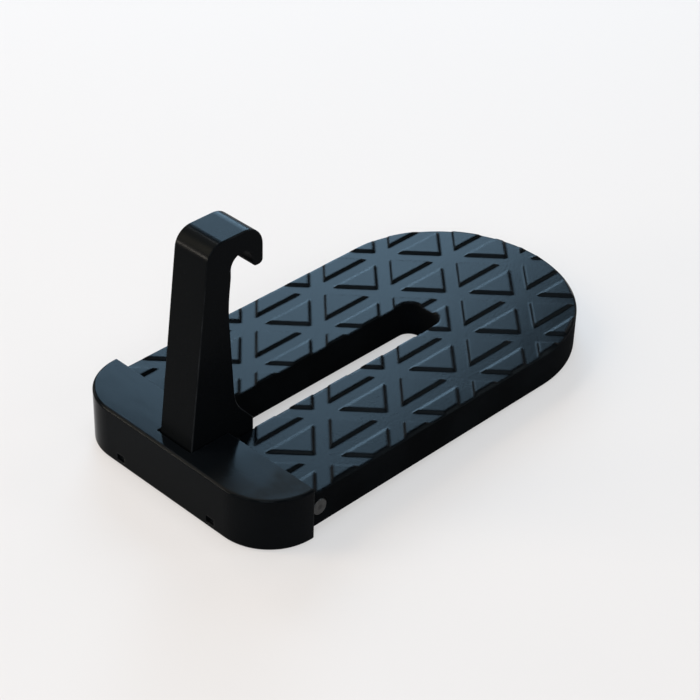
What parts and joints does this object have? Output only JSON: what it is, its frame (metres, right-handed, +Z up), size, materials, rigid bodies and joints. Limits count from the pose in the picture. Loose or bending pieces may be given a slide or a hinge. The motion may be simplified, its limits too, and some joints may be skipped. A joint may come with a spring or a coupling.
{
  "type": "door latch step",
  "caption": "Folding foot step that hooks on a car door's striker: slotted pedal with a triangle-studded tread, round nose, end block and a hinged hook arm.",
  "frame": {"origin": "middle of the step's length and width, at the level of the end block's underside", "axes": "+X from the end block to the pedal's round nose, +Y across the step along the hinge pin, +Z up, out of the tread"},
  "size_m": [0.164, 0.088, 0.0846],
  "materials": {
    "pedal_coat": "satin black coat on cast aluminium",
    "block_moulding": "smooth black moulding with a soft sheen",
    "hook_coat": "gloss black coat on forged aluminium",
    "pin_steel": "turned steel",
    "screw_steel": "dark zinc-plated steel"
  },
  "bodies": {
    "step": {"pedal": "pedal_coat", "end_block": "block_moulding", "hinge_pin": "pin_steel", "screw_left": "screw_steel", "screw_right": "screw_steel"},
    "hook": {"hook_arm": "hook_coat"}
  },
  "joints": [
    {"name": "hook_fold", "type": "hinge", "parent": "step", "child": "hook", "pos_m": [-0.0594, 0, 0.00875], "axis": [0, 1, 0], "range_deg": [0, 83]}
  ]
}
